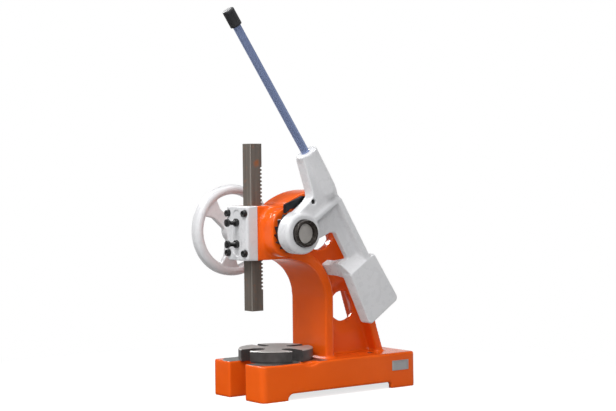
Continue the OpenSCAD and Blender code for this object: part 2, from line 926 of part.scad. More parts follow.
module handwheel_key() {
    color("gray")
    key_space(wheel_end, wheel_x, wheel_seat_d, 0);
}

module handwheel_washer() {
    color("gray")
    difference() {
        shaft_span(wheel_end - washer_t, wheel_end, wheel_seat_d + 2 * key_h);
        shaft_span(wheel_end - washer_t - through, wheel_end + through, screw_d + 2 * seat_fit);
    }
}

module handwheel_screw() {
    head_x = wheel_end - washer_t;
    color("dimgray") {
        shaft_span(head_x, wheel_end + cover_screw_in, screw_d);
        translate([head_x, axis_y, axis_z])
            rotate([0, -90, 0])
                hexagon(hex_head_h, hex_af);
    }
}

// Side outline of the yoke's dished arm, between the hub and the rod socket
module arm_outline() {
    back = rod_back + beam_back;
    front = back - socket_foot_w;
    hub_r = hub_d / 2;
    notch = socket_foot - hub_r;
    top = socket_top - 2 * socket_edge;
    polygon([
        [-lap, hub_r - 2 * lap], [0, 0], [back, 0], [back, top], [rod_back - arm_front, top],
        [front, socket_foot], [front - notch / 3, hub_r + notch / 3], [front - notch, hub_r + lap / 2]
    ]);
}

// Side outline of the yoke's thin web, from the arm down to the counterweight
module yoke_web_outline() {
    inner = rod_back + beam_back - rib_w / 2;
    front = rod_back + beam_back - beam_w;
    hub_r = hub_d / 2;
    bend_u = -hub_r - beam_drop;
    foot = -weight_top - lap;
    hub_angle = -60;
    polygon([
        [0, lap], [inner, lap], [inner + foot * sin(rib_lean), foot], [front - beam_splay, foot],
        [front, bend_u - beam_bend], [front - beam_bend, bend_u], polar(hub_r - lap, hub_angle)
    ]);
}

module weight_outline() {
    back = rod_back + weight_back;
    top = -weight_top;
    foot = -weight_foot;
    corners = [[back - weight_top_w, top], [back, top], [back, foot], [back - weight_foot_w, foot]];
    r = weight_corner_r;
    polygon([
        corners[0], corners[1], corners[2] + [0, r],
        corners[2] + [-r, 0], corners[3] + [r, 0], corners[3] + [r / 4, r]
    ]);
}

// The hub, with a broken outer edge, drawn about the shaft axis
module yoke_hub() {
    hub_r = hub_d / 2;
    translate([yoke_x, 0, 0])
        rotate([0, 90, 0])
            rotate_extrude()
                polygon([
                    [0, 0], [hub_r, 0], [hub_r, hub_l - hub_edge],
                    [hub_r - hub_edge / 3, hub_l - hub_edge / 3], [hub_r - hub_edge, hub_l], [0, hub_l]
                ]);
}

// The round socket that holds the rod: it narrows to its mouth and has a tapered toe on the arm
module rod_socket() {
    r = socket_d / 2;
    mouth_r = socket_mouth_d / 2;
    l = socket_top - socket_toe;
    toe_h = r - 2 * socket_edge;
    translate([rod_x, rod_back, socket_toe])
        rotate_extrude()
            polygon([
                [0, 0], [r / 2, 0], [r - socket_edge, toe_h / 2], [r, toe_h],
                [mouth_r, l - socket_edge], [mouth_r - socket_edge, l], [0, l]
            ]);
}

// The rib behind the web: its inner side spreads towards the web, and it leans a little to the front
module rear_rib() {
    top = arm_rib_w / 2;
    l = weight_top + lap + top;
    inner = -rib_w - rib_draft;
    translate([0, rod_back + beam_back - lap / 2, top])
        rotate([-rib_lean, 0, 0])
            translate([0, 0, -l])
                linear_extrude(height = l)
                    polygon([
                        [arm_x, 0], [yoke_end - rib_sink, 0], [yoke_end - rib_sink, -rib_w],
                        [arm_x + yoke_web_t, inner], [arm_x, inner]
                    ]);
}

// The slope from the web up to the counterweight's face
module weight_shoulder() {
    back = rod_back + weight_back - weight_top_w + lap + shoulder_w;
    high = yoke_end - rib_sink;
    low = arm_x + yoke_web_t - lap;
    translate([0, back, -weight_top])
        rotate([90, 0, 0])
            linear_extrude(height = shoulder_w)
                polygon([
                    [arm_x + lap, -lap], [high, -lap], [high, rib_sink],
                    [low, shoulder_l], [arm_x + lap, shoulder_l]
                ]);
}

// The stop lug reaches under the head, behind the front flange, and lies on its back face at rest
module stop_lug() {
    root_x = arm_x + yoke_web_t / 2;
    flare_x = front_flange_w / 2 + lug_overlap;
    half = lug_w / 2;
    translate([0, throat_y, throat_z])
        rotate([lug_angle, 0, 0])
            translate([0, lug_r, lug_shift]) {
                translate([lug_x, -lug_t / 2, -half])
                    cube([root_x - lug_x, lug_t, lug_w]);
                translate([0, lug_t / 2 - rib_sink, 0])
                    rotate([90, 0, 0])
                        linear_extrude(height = lug_t - 2 * rib_sink)
                            polygon([
                                [flare_x, rib_sink - half], [root_x - lap, -half - lug_flare],
                                [root_x - lap, half + lug_flare], [flare_x, half - rib_sink]
                            ]);
            }
}

module lever_yoke() {
    color("whitesmoke")
    difference() {
        union() {
            on_lever() {
                yoke_hub();
                side_span(arm_x, yoke_end - arm_sink)
                    arm_outline();
                side_span(arm_x, yoke_end - rib_sink)
                    square([rod_back + beam_back - lap, arm_rib_w]);
                rod_socket();
                side_span(arm_x, arm_x + yoke_web_t)
                    yoke_web_outline();
                rear_rib();
                weight_shoulder();
                side_span(weight_x, yoke_end)
                    weight_outline();
            }
            stop_lug();
        }
        shaft_span(yoke_x - through, yoke_end + through, bush_bore_d);
        shaft_span(yoke_end - ring_in - side_gap, yoke_end + through, ring_d + 2 * stop_gap);
        on_lever() {
            translate([yoke_x - through, pawl_pin_v, pawl_pin_u])
                rotate([0, 90, 0])
                    cylinder(h = hub_l + 2 * through, d = pawl_pin_d + 2 * seat_fit);
            translate([rod_x, rod_back, socket_top - rod_in_socket])
                cylinder(h = rod_in_socket + through, d = rod_d + 2 * seat_fit);
            translate([rod_x, rod_back, socket_top - rod_in_socket / 2])
                rotate([-90, 0, 0])
                    cylinder(h = socket_d, d = screw_d + 2 * seat_fit);
        }
    }
}

module yoke_bush() {
    bush_end = yoke_end - ring_in - side_gap;
    color("peru")
    difference() {
        shaft_span(yoke_x, bush_end, bush_bore_d - 2 * seat_fit);
        shaft_span(yoke_x - through, bush_end + through, shaft_d + 2 * running_fit);
    }
}

module pawl_pin() {
    color("silver")
    on_lever()
        translate([pawl_x - pin_ring_t - side_gap, pawl_pin_v, pawl_pin_u])
            rotate([0, 90, 0])
                cylinder(h = yoke_end - pawl_pin_sink - pawl_x + pin_ring_t + side_gap, d = pawl_pin_d);
}

module pawl_pin_ring() {
    color("dimgray")
    on_lever()
        translate([pawl_x - pin_ring_t - side_gap, pawl_pin_v, pawl_pin_u])
            rotate([0, 90, 0])
                difference() {
                    cylinder(h = pin_ring_t, d = pawl_pin_d + 2 * pin_ring_w);
                    translate([0, 0, -through])
                        cylinder(h = pin_ring_t + 2 * through, d = pawl_pin_d + 2 * seat_fit);
                }
}

module lever_rod() {
    foot = socket_top - rod_in_socket;
    color("lightsteelblue")
    on_lever()
        translate([rod_x, rod_back, foot])
            cylinder(h = rod_top - foot, d = rod_d);
}

module rod_cap() {
    cap_foot = rod_top + cap_end_t - cap_l;
    color("black")
    on_lever()
        translate([rod_x, rod_back, cap_foot])
            rotate_extrude()
                difference() {
                    polygon([
                        [0, 0], [cap_d / 2 - cap_edge, 0], [cap_d / 2, cap_edge],
                        [cap_d / 2, cap_l - cap_edge], [cap_d / 2 - cap_edge, cap_l], [0, cap_l]
                    ]);
                    translate([0, -through])
                        square([rod_d / 2 + seat_fit, cap_l - cap_end_t + through]);
                }
}

module rod_set_screw() {
    screw_l = (socket_d - rod_d) / 2 - lap;
    color("dimgray")
    on_lever()
        translate([rod_x, rod_back + rod_d / 2, socket_top - rod_in_socket / 2])
            rotate([-90, 0, 0])
                difference() {
                    cylinder(h = screw_l, d = screw_d);
                    translate([0, 0, screw_l / 2])
                        hexagon(screw_l, screw_d / 2);
                }
}

// The pawl drawn engaged, about the shaft axis: its flat nose stands in front of a tooth's face
module pawl_outline() {
    tip_r = ratchet_d / 2;
    root_r = tip_r - ratchet_tooth_h;
    face = engage_angle - stop_gap / root_r * 180 / PI;
    nose = polar(root_r + pawl_clear, face);
    heel = polar(tip_r + pawl_clear, engage_angle - 360 / ratchet_teeth + tooth_lean + tooth_land);
    pin = [pawl_pin_v, pawl_pin_u];
    under = 215;
    over = 70;
    polygon([
        nose, heel, pin + polar(pawl_eye_r, under), pin, pin + polar(pawl_eye_r, over),
        nose + [pawl_end_lean, pawl_end_h]
    ]);
    translate(pin)
        circle(r = pawl_eye_r);
}

module pawl() {
    pin = [0, pawl_pin_v, pawl_pin_u];
    color("darkslategray")
    on_lever()
        translate(pin)
            rotate([-pawl_lift, 0, 0])
                translate(-pin)
                    difference() {
                        side_span(pawl_x, pawl_x + pawl_t)
                            pawl_outline();
                        translate([pawl_x - through, pawl_pin_v, pawl_pin_u])
                            rotate([0, 90, 0])
                                cylinder(h = pawl_t + 2 * through, d = pawl_pin_d + 2 * running_fit);
                    }
}

module table_plate() {
    plate_r = plate_d / 2;
    slot_l = plate_r;
    color("gray")
    translate([0, plate_back, base_h + running_fit])
        difference() {
            rotate_extrude()
                polygon([
                    [0, 0], [plate_r - plate_step, 0],
                    [plate_r - plate_step, plate_step_h], [plate_r, plate_step_h],
                    [plate_r, plate_t - plate_chamfer], [plate_r - plate_chamfer, plate_t], [0, plate_t]
                ]);
            for (i = [0:3])
                rotate(-90 + i * 90) {
                    w = slot_w - i * slot_step;
                    translate([slot_core_r + w / 2, -w / 2, -through])
                        cube([slot_l, w, plate_t + 2 * through]);
                    translate([slot_core_r + w / 2, 0, -through])
                        cylinder(h = plate_t + 2 * through, d = w);
                }
            translate([0, 0, -through])
                cylinder(h = pivot_in_plate + through + hole_spare, d = pivot_d + 2 * running_fit);
        }
}

frame();
front_cover();
cover_screws();
gib_plate();
gib_screws();
gib_lock_nuts();
left_bush();
right_bush();
table_pivot();
ram();
pinion_shaft();
ratchet_wheel();
ratchet_key();
retaining_ring();
handwheel();
handwheel_key();
handwheel_washer();
handwheel_screw();
lever_yoke();
yoke_bush();
pawl_pin();
pawl_pin_ring();
lever_rod();
rod_cap();
rod_set_screw();
pawl();
table_plate();
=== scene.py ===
"""Looks of a ratchet arbor press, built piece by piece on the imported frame.

Metres; X runs to the lever side, Y to the back, Z up, and the ram's axis crosses the bench at the origin.
"""

import math

import bpy
import numpy as np
from mathutils import Matrix, Vector


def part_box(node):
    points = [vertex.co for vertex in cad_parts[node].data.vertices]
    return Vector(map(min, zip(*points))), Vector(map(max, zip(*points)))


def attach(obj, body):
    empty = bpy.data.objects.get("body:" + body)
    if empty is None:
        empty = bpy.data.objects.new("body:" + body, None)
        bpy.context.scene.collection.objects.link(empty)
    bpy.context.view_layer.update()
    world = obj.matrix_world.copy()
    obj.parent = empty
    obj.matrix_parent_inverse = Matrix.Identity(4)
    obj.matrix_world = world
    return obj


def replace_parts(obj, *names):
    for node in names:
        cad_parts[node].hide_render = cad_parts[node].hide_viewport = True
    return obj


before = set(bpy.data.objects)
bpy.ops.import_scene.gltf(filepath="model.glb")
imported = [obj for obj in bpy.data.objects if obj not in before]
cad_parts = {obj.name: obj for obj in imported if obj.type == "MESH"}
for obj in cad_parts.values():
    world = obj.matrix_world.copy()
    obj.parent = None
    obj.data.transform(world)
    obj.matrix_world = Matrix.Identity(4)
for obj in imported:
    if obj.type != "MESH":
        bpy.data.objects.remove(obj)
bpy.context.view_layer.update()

# Frame: base, column and head are one iron casting, poured in sand and fettled by hand.
# It is painted in gloss orange all over, apart from the milled seat round the table plate
# and the two bench bolt holes, which are bare iron coloured near black as painted shade.

MM = 0.001
TINY = 1e-12
microns_a_metre = 1e6


def merged_skin(node):
    """A CAD node's loose triangles as one skin: corners at one place, to a micron, become one point."""
    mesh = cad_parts[node].data
    points = np.empty(len(mesh.vertices) * 3, np.float32)
    mesh.vertices.foreach_get("co", points)
    points = points.reshape(-1, 3)
    corners = np.empty(len(mesh.loops), np.int32)
    mesh.loops.foreach_get("vertex_index", corners)
    microns = np.round(points * microns_a_metre).astype(np.int64)
    _, first, merged = np.unique(microns, axis=0, return_index=True, return_inverse=True)
    faces = merged.reshape(-1)[corners].reshape(-1, 3)
    whole = np.all(faces != np.roll(faces, 1, axis=1), axis=1)
    return points[first].astype(float), faces[whole]


def point_normals(points, quads):
    """Each point's normal: the sum of the normals of the squares round it, brought to length 1.
    A square's normal is the cross product of its diagonals."""
    p = points[quads]
    normals = np.cross(p[:, 2] - p[:, 0], p[:, 3] - p[:, 1])
    corner = quads.ravel()
    sums = [np.bincount(corner, np.repeat(normals[:, k], 4), len(points)) for k in range(3)]
    total = np.stack(sums, axis=1)
    return total / np.maximum(np.linalg.norm(total, axis=1, keepdims=True), TINY)


def cast_skin(node, voxel, passes, fillet, edge):
    """A node's skin as a sand casting shows it: inside corners filled, outside edges worn round.
    The skin is drawn again in even squares one voxel wide, then relaxed. Each pass moves a point up to
    half way to the mean of its neighbours, where the skin bends more sharply than the fillet's radius
    inwards or the edge's outwards. The bend is four times the step along the normal, over the voxel
    squared. The first passes even out all points. Each radius is a number or a function of the points,
    and 0 leaves the skin as it was."""
    evening_passes, half_way = 4, 0.5
    points, faces = merged_skin(node)
    mesh = bpy.data.meshes.new("pattern")
    mesh.from_pydata(points.tolist(), [], faces.tolist())
    pattern = bpy.data.objects.new("pattern", mesh)
    bpy.context.scene.collection.objects.link(pattern)
    squares = pattern.modifiers.new("even_squares", "REMESH")
    squares.mode = "VOXEL"
    squares.voxel_size = voxel
    even = pattern.evaluated_get(bpy.context.evaluated_depsgraph_get()).to_mesh()
    co = np.empty(len(even.vertices) * 3, np.float32)
    even.vertices.foreach_get("co", co)
    co = co.reshape(-1, 3).astype(float)
    ends = np.empty(len(even.edges) * 2, np.int32)
    even.edges.foreach_get("vertices", ends)
    quads = np.empty(len(even.loops), np.int32)
    even.loops.foreach_get("vertex_index", quads)
    quads = quads.reshape(-1, 4)
    bpy.data.objects.remove(pattern)
    bpy.data.meshes.remove(mesh)
    a, b = ends.reshape(-1, 2).T
    count = len(co)
    neighbours = np.bincount(ends, minlength=count)[:, None]
    inner, outer = (np.broadcast_to(r(co) if callable(r) else r, count)[:, None] for r in (fillet, edge))
    for turn in range(passes):
        sums = [np.bincount(a, co[b, k], count) + np.bincount(b, co[a, k], count) for k in range(3)]
        step = np.stack(sums, axis=1) / neighbours - co
        bend = 4 * np.sum(step * point_normals(co, quads), axis=1, keepdims=True) / voxel ** 2
        radius = np.where(bend > 0, inner, outer)
        if turn < evening_passes:
            share = np.minimum(1, radius / voxel)
        else:
            share = np.clip(radius * np.abs(bend) - 1, 0, 1)
        co += half_way * share * step
    return co, quads


def new_piece(name, points, faces, finish, body, slot):
    """A smooth mesh object at the origin, with its finish and the body it rides on. Its slot argument is
    not used.
    """
    mesh = bpy.data.meshes.new(name)
    mesh.from_pydata(points.tolist(), [], faces.tolist() if hasattr(faces, "tolist") else faces)
    mesh.shade_smooth()
    mesh.materials.append(finish)
    piece = bpy.data.objects.new(name, mesh)
    bpy.context.scene.collection.objects.link(piece)
    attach(piece, body)
    return piece


def new_node(tree, kind, inputs=(), **settings):
    """Adds a shader node; inputs holds values, or sockets to link from."""
    node = tree.nodes.new(kind)
    for key, value in settings.items():
        setattr(node, key, value)
    for key, value in dict(inputs).items():
        if isinstance(value, bpy.types.NodeSocket):
            tree.links.new(value, node.inputs[key])
        else:
            node.inputs[key].default_value = value
    return node


def new_finish(name, **sockets):
    """A material with one surface shader, whose even values are set on its own sockets."""
    finish = bpy.data.materials.new(name)
    finish.use_nodes = True
    tree = finish.node_tree
    shader = tree.nodes["Principled BSDF"]
    for key, value in sockets.items():
        shader.inputs[key.replace("_", " ")].default_value = value
    place = new_node(tree, "ShaderNodeTexCoord").outputs["Object"]
    return finish, tree, shader, place


def mottle(tree, place, spots, detail=2.0, stretch=(1, 1, 1)):
    """Cloudy noise from 0 to 1, so many spots a metre, with that share of them along each axis."""
    mapped = new_node(tree, "ShaderNodeMapping", {"Vector": place, "Scale": stretch}).outputs["Vector"]
    noise = new_node(tree, "ShaderNodeTexNoise", {"Vector": mapped, "Scale": spots, "Detail": detail})
    return noise.outputs["Fac"]


def spread(tree, value, low, high, start=0.0, end=1.0):
    """Maps start to end onto low to high, and holds the ends."""
    inputs = {"Value": value, "From Min": start, "From Max": end, "To Min": low, "To Max": high}
    return new_node(tree, "ShaderNodeMapRange", inputs).outputs["Result"]


def between(tree, share, first, second):
    """A colour mixed from first to second by share."""
    mix = new_node(tree, "ShaderNodeMix", {0: share, 6: first, 7: second}, data_type="RGBA")
    return mix.outputs[2]


def level_between(tree, share, first, second):
    """A number mixed from first to second by share."""
    return new_node(tree, "ShaderNodeMix", {0: share, 2: first, 3: second}, data_type="FLOAT").outputs[0]


def sum_of(tree, operation, first, second=0.0):
    """One sum on two values or sockets."""
    return new_node(tree, "ShaderNodeMath", {0: first, 1: second}, operation=operation).outputs[0]


def vector_sum(tree, operation, result, *vectors):
    """One sum on vectors, read at the socket of that name."""
    node = new_node(tree, "ShaderNodeVectorMath", enumerate(vectors), operation=operation)
    return node.outputs[result]


def all_of(tree, mask, *others):
    """1 where every mask is 1, by their product."""
    for other in others:
        mask = sum_of(tree, "MULTIPLY", mask, other)
    return mask


def squares_from(tree, first, second, centre):
    """The sum of the squares of two coordinates' distances from a centre."""
    offsets = [sum_of(tree, "SUBTRACT", value, middle) for value, middle in zip((first, second), centre)]
    return sum_of(tree, "ADD", *(sum_of(tree, "POWER", offset, 2.0) for offset in offsets))


def bumps(tree, height, depth, strength, under=None):
    """A bump normal of the given depth from a height of 0 to 1, laid over an earlier one."""
    bump = new_node(tree, "ShaderNodeBump", {"Height": height, "Distance": depth, "Strength": strength})
    if under is not None:
        tree.links.new(under, bump.inputs["Normal"])
    return bump.outputs["Normal"]


def link(tree, shader, **sockets):
    """Links sockets to the surface shader's inputs by name."""
    for key, value in sockets.items():
        tree.links.new(value, shader.inputs[key.replace("_", " ")])


def enamel(name, thin, thick, roughness, gloss_level, sand):
    """Sprayed enamel: a colour that drifts a little, slow waves and sand grain of the casting under it,
    and the fine orange peel of the spray."""
    gloss_swing = 0.06
    finish, tree, shader, place = new_finish(name, Specular_IOR_Level=gloss_level)
    drift = spread(tree, mottle(tree, place, spots=9), low=-0.3, high=1.3)
    colour = between(tree, drift, (*thin, 1), (*thick, 1))
    dulled = mottle(tree, place, spots=60)
    gloss = spread(tree, dulled, low=roughness - gloss_swing, high=roughness + gloss_swing)
    waves = bumps(tree, mottle(tree, place, spots=38, detail=1), depth=1.2 * MM, strength=0.4)
    grain = bumps(tree, mottle(tree, place, spots=150, detail=1), depth=sand, strength=0.5, under=waves)
    peel = bumps(tree, mottle(tree, place, spots=520, detail=1), depth=0.12 * MM, strength=0.3, under=grain)
    link(tree, shader, Base_Color=colour, Roughness=gloss, Normal=peel)
    return finish, tree, shader, place, colour, gloss


def fade(distance, start, width):
    """0 up to start, rising evenly to 1 over the width."""
    return np.clip((distance - start) / width, 0, 1)


shaft_y, shaft_z = 39.3 * MM, 450 * MM
bolt_x, bolt_y, bolt_r = 61 * MM, 356 * MM, 8 * MM
boss_x, boss_z, boss_front, boss_back = 40 * MM, 360 * MM, -12 * MM, 150 * MM
boss_fillet, plain_fillet, plain_edge = 24 * MM, 12 * MM, 8 * MM
hole_margin = 3 * MM


def frame_fillet(co):
    """Radius of the inside corners: large where the bosses grow out of the head, and none in the bench
    bolts' holes or at the cover's seam."""
    x, y, z = np.abs(co[:, 0]), co[:, 1], co[:, 2]
    at_boss = (x > boss_x) & (z > boss_z) & (y > boss_front) & (y < boss_back)
    in_hole = np.hypot(x - bolt_x, y - bolt_y) < bolt_r + hole_margin
    radius = np.where(in_hole, 0, np.where(at_boss, boss_fillet, plain_fillet))
    return radius * fade(y, start=-19 * MM, width=5 * MM)


def frame_edge(co):
    """Radius of the outside edges, which falls to 0 at the feet, the cover's seam, the bolt holes and
    the bores."""
    x, y, z = np.abs(co[:, 0]), co[:, 1], co[:, 2]
    feet = fade(z, start=1 * MM, width=6 * MM)
    seam = fade(y, start=-17 * MM, width=8 * MM)
    hole = fade(np.hypot(x - bolt_x, y - bolt_y), start=bolt_r + 2 * MM, width=4 * MM)
    bore = fade(np.hypot(y - shaft_y, z - shaft_z), start=33 * MM, width=4 * MM)
    return plain_edge * np.minimum(np.minimum(feet, seam), np.minimum(hole, bore))


orange_thin = (0.78, 0.100, 0.006)
orange_thick = (0.82, 0.118, 0.008)
orange_enamel, tree, shader, place, colour, gloss = enamel(
    "orange_enamel", orange_thin, orange_thick, roughness=0.19, gloss_level=0.40, sand=0.45 * MM)
along = new_node(tree, "ShaderNodeSeparateXYZ", {0: place}).outputs

seat_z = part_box("table_plate")[0].z
seat_y, seat_r, seat_back = 71 * MM, 146 * MM, 166 * MM
seat_below, seat_above = 0.6 * MM, 2 * MM
iron_dark, iron_light, iron_roughness = (0.17, 0.17, 0.16, 1), (0.33, 0.33, 0.32, 1), 0.42
seat_squares = squares_from(tree, along["X"], along["Y"], (0.0, seat_y))
milled = all_of(
    tree, sum_of(tree, "LESS_THAN", seat_squares, seat_r ** 2),
    sum_of(tree, "LESS_THAN", along["Y"], seat_back),
    sum_of(tree, "GREATER_THAN", along["Z"], seat_z - seat_below),
    sum_of(tree, "LESS_THAN", along["Z"], seat_z + seat_above))
cutter_lines = mottle(tree, place, spots=90, detail=3, stretch=(1, 14, 1))
bare_iron = between(tree, cutter_lines, iron_dark, iron_light)
painted = between(tree, milled, colour, bare_iron)

# The bench bolts' holes are coloured near black: bare iron, darkened further as painted shade in their
# depth.
base_top, drill_rim, drill_r = 98 * MM, 0.4 * MM, bolt_r + 2 * MM
hole_shade_black = (0.020, 0.014, 0.010, 1)
bolt_squares = squares_from(tree, sum_of(tree, "ABSOLUTE", along["X"]), along["Y"], (bolt_x, bolt_y))
drilled_and_shaded = all_of(
    tree, sum_of(tree, "LESS_THAN", bolt_squares, drill_r ** 2),
    sum_of(tree, "LESS_THAN", along["Z"], base_top - drill_rim))

# The paint lies wrinkled on the upper front of the right boss.
wrinkle_place = (78 * MM, 2 * MM, 491 * MM)
wrinkle_r, wrinkle_end = 16 * MM, 38 * MM
away = vector_sum(tree, "DISTANCE", "Value", place, wrinkle_place)
wrinkled = spread(tree, away, low=1.0, high=0.0, start=wrinkle_r, end=wrinkle_end)
wrinkles = sum_of(tree, "MULTIPLY", mottle(tree, place, spots=75, detail=2), wrinkled)
smooth = shader.inputs["Normal"].links[0].from_socket
link(tree, shader, Base_Color=between(tree, drilled_and_shaded, painted, hole_shade_black), Metallic=milled,
     Roughness=level_between(tree, milled, gloss, iron_roughness),
     Normal=bumps(tree, wrinkles, depth=4 * MM, strength=0.8, under=smooth))

window_y, window_z = 310 * MM, 231 * MM
window_half_w, window_half_h, window_lean = 41 * MM, 46 * MM, math.radians(8)
window_power = 3.3
core_y, core_z, core_r = 300 * MM, 230.5 * MM, 42.5 * MM
lip_end, lip_start, lip_thinning = 1.7, 1.05, 0.6
web_reach, web_fade = 27 * MM, 10 * MM
flange_foot_y, flange_slope = 414 * MM, 0.294


def window_rounded(co):
    """The lower window as its round core left it. Each point's share is its way from the window's middle
    to the window's outline, a leaning rectangle with a power curve's corners, and the point goes as far
    along the core's own radius. Round the window the web thins to a lip. Both fade out over the web,
    away from the window and before the back of the sloping rear flange."""
    y, z = co[:, 1] - window_y, co[:, 2] - window_z
    wide = np.abs(y * math.cos(window_lean) + z * math.sin(window_lean)) / window_half_w
    high = np.abs(z * math.cos(window_lean) - y * math.sin(window_lean)) / window_half_h
    share = (wide ** window_power + high ** window_power) ** (1 / window_power)
    near = fade(lip_end - share, start=0, width=lip_end - lip_start)
    held = near ** 2 * (3 - 2 * near) * fade(web_reach - np.abs(co[:, 0]), start=0, width=web_fade)
    before_back = flange_foot_y - flange_slope * (co[:, 2] - base_top) - co[:, 1]
    held *= fade(before_back, start=12 * MM, width=6 * MM)
    way = core_r * share / np.maximum(np.hypot(y, z), TINY)
    new_y, new_z = core_y + way * y, core_z + way * z
    return np.stack([co[:, 0] * (1 - lip_thinning * held), co[:, 1] + held * (new_y - co[:, 1]),
                     co[:, 2] + held * (new_z - co[:, 2])], axis=1)


co, quads = cast_skin("frame", voxel=3.3 * MM, passes=110, fillet=frame_fillet, edge=frame_edge)
casting = new_piece("frame_casting", window_rounded(co), quads, orange_enamel, "frame", "orange_paint")
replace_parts(casting, "frame")

# Rating plate: a small bare aluminium plate, stamped with a raised border.
# It is stuck to the right side of the base, near the back.

# Points round each outlined or turned piece, and their angles, half a step off the axes.
ROUND = 96
angles = np.arange(ROUND) * 2 * np.pi / ROUND + np.pi / ROUND


def closed_skin(rings, looped=False):
    """A closed skin over an array of rings of points: squares join each ring to the next.
    A fan to the middle closes each end, or the last ring joins the first where the rings run in a loop.
    Faces are turned outwards by the sign of the enclosed volume."""
    count, size = rings.shape[:2]
    points = rings.reshape(-1, 3)
    index = np.arange(count * size).reshape(count, size)
    after = np.roll(index, -1, axis=1)
    if looped:
        first, second = (index, after), (np.roll(index, -1, axis=0), np.roll(after, -1, axis=0))
    else:
        first, second = (index[:-1], after[:-1]), (index[1:], after[1:])
    quads = np.stack([first[0], first[1], second[1], second[0]], axis=-1).reshape(-1, 4)
    triangles = np.concatenate([quads[:, [0, 1, 2]], quads[:, [0, 2, 3]]])
    fans = np.empty((0, 3), int)
    if not looped:
        points = np.concatenate([points, rings[:1].mean(axis=1), rings[-1:].mean(axis=1)])
        low = np.stack([after[0], index[0], np.full(size, count * size)], axis=-1)
        high = np.stack([index[-1], after[-1], np.full(size, count * size + 1)], axis=-1)
        fans = np.concatenate([low, high])
        triangles = np.concatenate([triangles, fans])
    p = points[triangles]
    volume = np.sum(np.cross(p[:, 0], p[:, 1]) * p[:, 2])
    way = 1 if volume > 0 else -1
    return points, quads[:, ::way].tolist() + fans[:, ::way].tolist()


def stood_at(rings, origin, axes):
    """Rings drawn in local x, y and z, put in place: the origin plus each coordinate times its axis."""
    return np.asarray(origin) + rings @ np.asarray(axes, float)


def rounded_outline(width, height, corner):
    """Points round a rectangle with round corners: each quarter turn's arc about its own corner."""
    x = np.sign(np.cos(angles)) * (width / 2 - corner) + corner * np.cos(angles)
    y = np.sign(np.sin(angles)) * (height / 2 - corner) + corner * np.sin(angles)
    return x, y


def mottled(name, dark, light, roughness, spots, depth, strength,
            detail=4, stretch=(1, 1, 1), turn=0.0, **sockets):
    """A finish in which one cloudy noise takes the colour from dark to light, the roughness from its
    first value to its second, and the bump from foot to top. The noise may be turned about X first."""
    finish, tree, shader, place = new_finish(name, **sockets)
    if turn:
        turned = {"Vector": place, "Rotation": (turn, 0, 0)}
        place = new_node(tree, "ShaderNodeMapping", turned).outputs["Vector"]
    cloud = mottle(tree, place, spots, detail, stretch)
    link(tree, shader, Base_Color=between(tree, cloud, (*dark, 1), (*light, 1)),
         Roughness=spread(tree, cloud, *roughness), Normal=bumps(tree, cloud, depth, strength))
    return finish


plate_w, plate_h, plate_corner = 60 * MM, 28 * MM, 2 * MM
plate_place = (120 * MM, 417 * MM, 63 * MM)
sideways_axes = [(0, 1, 0), (0, 0, 1), (1, 0, 0)]
# Inset and height of each step from the plate's edge over its border to its middle, in millimetres.
plate_steps = ((0, -0.2), (0, 0.45), (0.25, 0.7), (1.4, 0.7), (1.7, 0.5), (9, 0.5))
rings = []
for inset, height in plate_steps:
    x, y = rounded_outline(plate_w - 2 * inset * MM, plate_h - 2 * inset * MM, plate_corner)
    rings.append(np.stack([x, y, np.full(ROUND, height * MM)], axis=-1))
rings = stood_at(np.array(rings), plate_place, sideways_axes)
aluminium = mottled(
    "brushed_aluminium", dark=(0.46, 0.46, 0.47), light=(0.74, 0.74, 0.75), roughness=(0.30, 0.46),
    spots=160, detail=3, stretch=(1, 1, 30), depth=0.05 * MM, strength=0.4, Metallic=0.6)
new_piece("rating_plate", *closed_skin(rings), aluminium, "frame", "bright_steel")

# Table plate: a cast iron disc with four slots, turned bright on top and left dark on its sides.
# It turns by hand on a steel pivot pin pressed into the base.


def lathe_lines(tree, place, centre, axis, lines, ripple):
    """Rings about an axis through centre, as a lathe leaves them: a wave of the distance from the axis."""
    moved = {"Vector": place, "Location": [-c for c in centre]}
    centred = new_node(tree, "ShaderNodeMapping", moved).outputs["Vector"]
    waves = {"Vector": centred, "Scale": lines, "Distortion": ripple, "Detail": 2.0}
    rings = new_node(tree, "ShaderNodeTexWave", waves, wave_type="RINGS", rings_direction=axis)
    return rings.outputs["Fac"]


def facing(tree, normal):
    """The three shares of the surface's normal along X, Y and Z."""
    outward = new_node(tree, "ShaderNodeNewGeometry").outputs[normal]
    return new_node(tree, "ShaderNodeSeparateXYZ", {0: outward}).outputs


def dressed(finish, *names):
    """Gives CAD nodes a finish in place of their plain one."""
    for name in names:
        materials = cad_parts[name].data.materials
        materials.clear()
        materials.append(finish)


top_dark, top_light = (0.33, 0.318, 0.305, 1), (0.53, 0.513, 0.495, 1)
side_dark, side_light = (0.055, 0.050, 0.050, 1), (0.14, 0.130, 0.128, 1)
least_rise = 0.6
plate_iron, tree, shader, place = new_finish("turned_iron", Metallic=0.5)
turned = sum_of(tree, "GREATER_THAN", facing(tree, "Normal")["Z"], least_rise)
turning = lathe_lines(tree, place, centre=(0, seat_y, 0), axis="Z", lines=260, ripple=0.4)
smudges = mottle(tree, place, spots=26, detail=4)
top_iron = between(tree, smudges, top_dark, top_light)
side_iron = between(tree, mottle(tree, place, spots=70, detail=4), side_dark, side_light)
link(tree, shader, Base_Color=between(tree, turned, side_iron, top_iron),
     Roughness=spread(tree, smudges, low=0.36, high=0.52),
     Normal=bumps(tree, turning, depth=0.06 * MM, strength=0.25))
dressed(plate_iron, "table_plate")
bright_steel = mottled(
    "bright_steel", dark=(0.30, 0.285, 0.27), light=(0.46, 0.44, 0.42), roughness=(0.28, 0.44),
    spots=240, depth=0.03 * MM, strength=0.3, Metallic=1.0)
dressed(bright_steel, "table_pivot")

# Shaft bushes: two flanged bronze bushes pressed into the head, and one in the yoke's hub.
# They are turned, and darkened a little by oil.

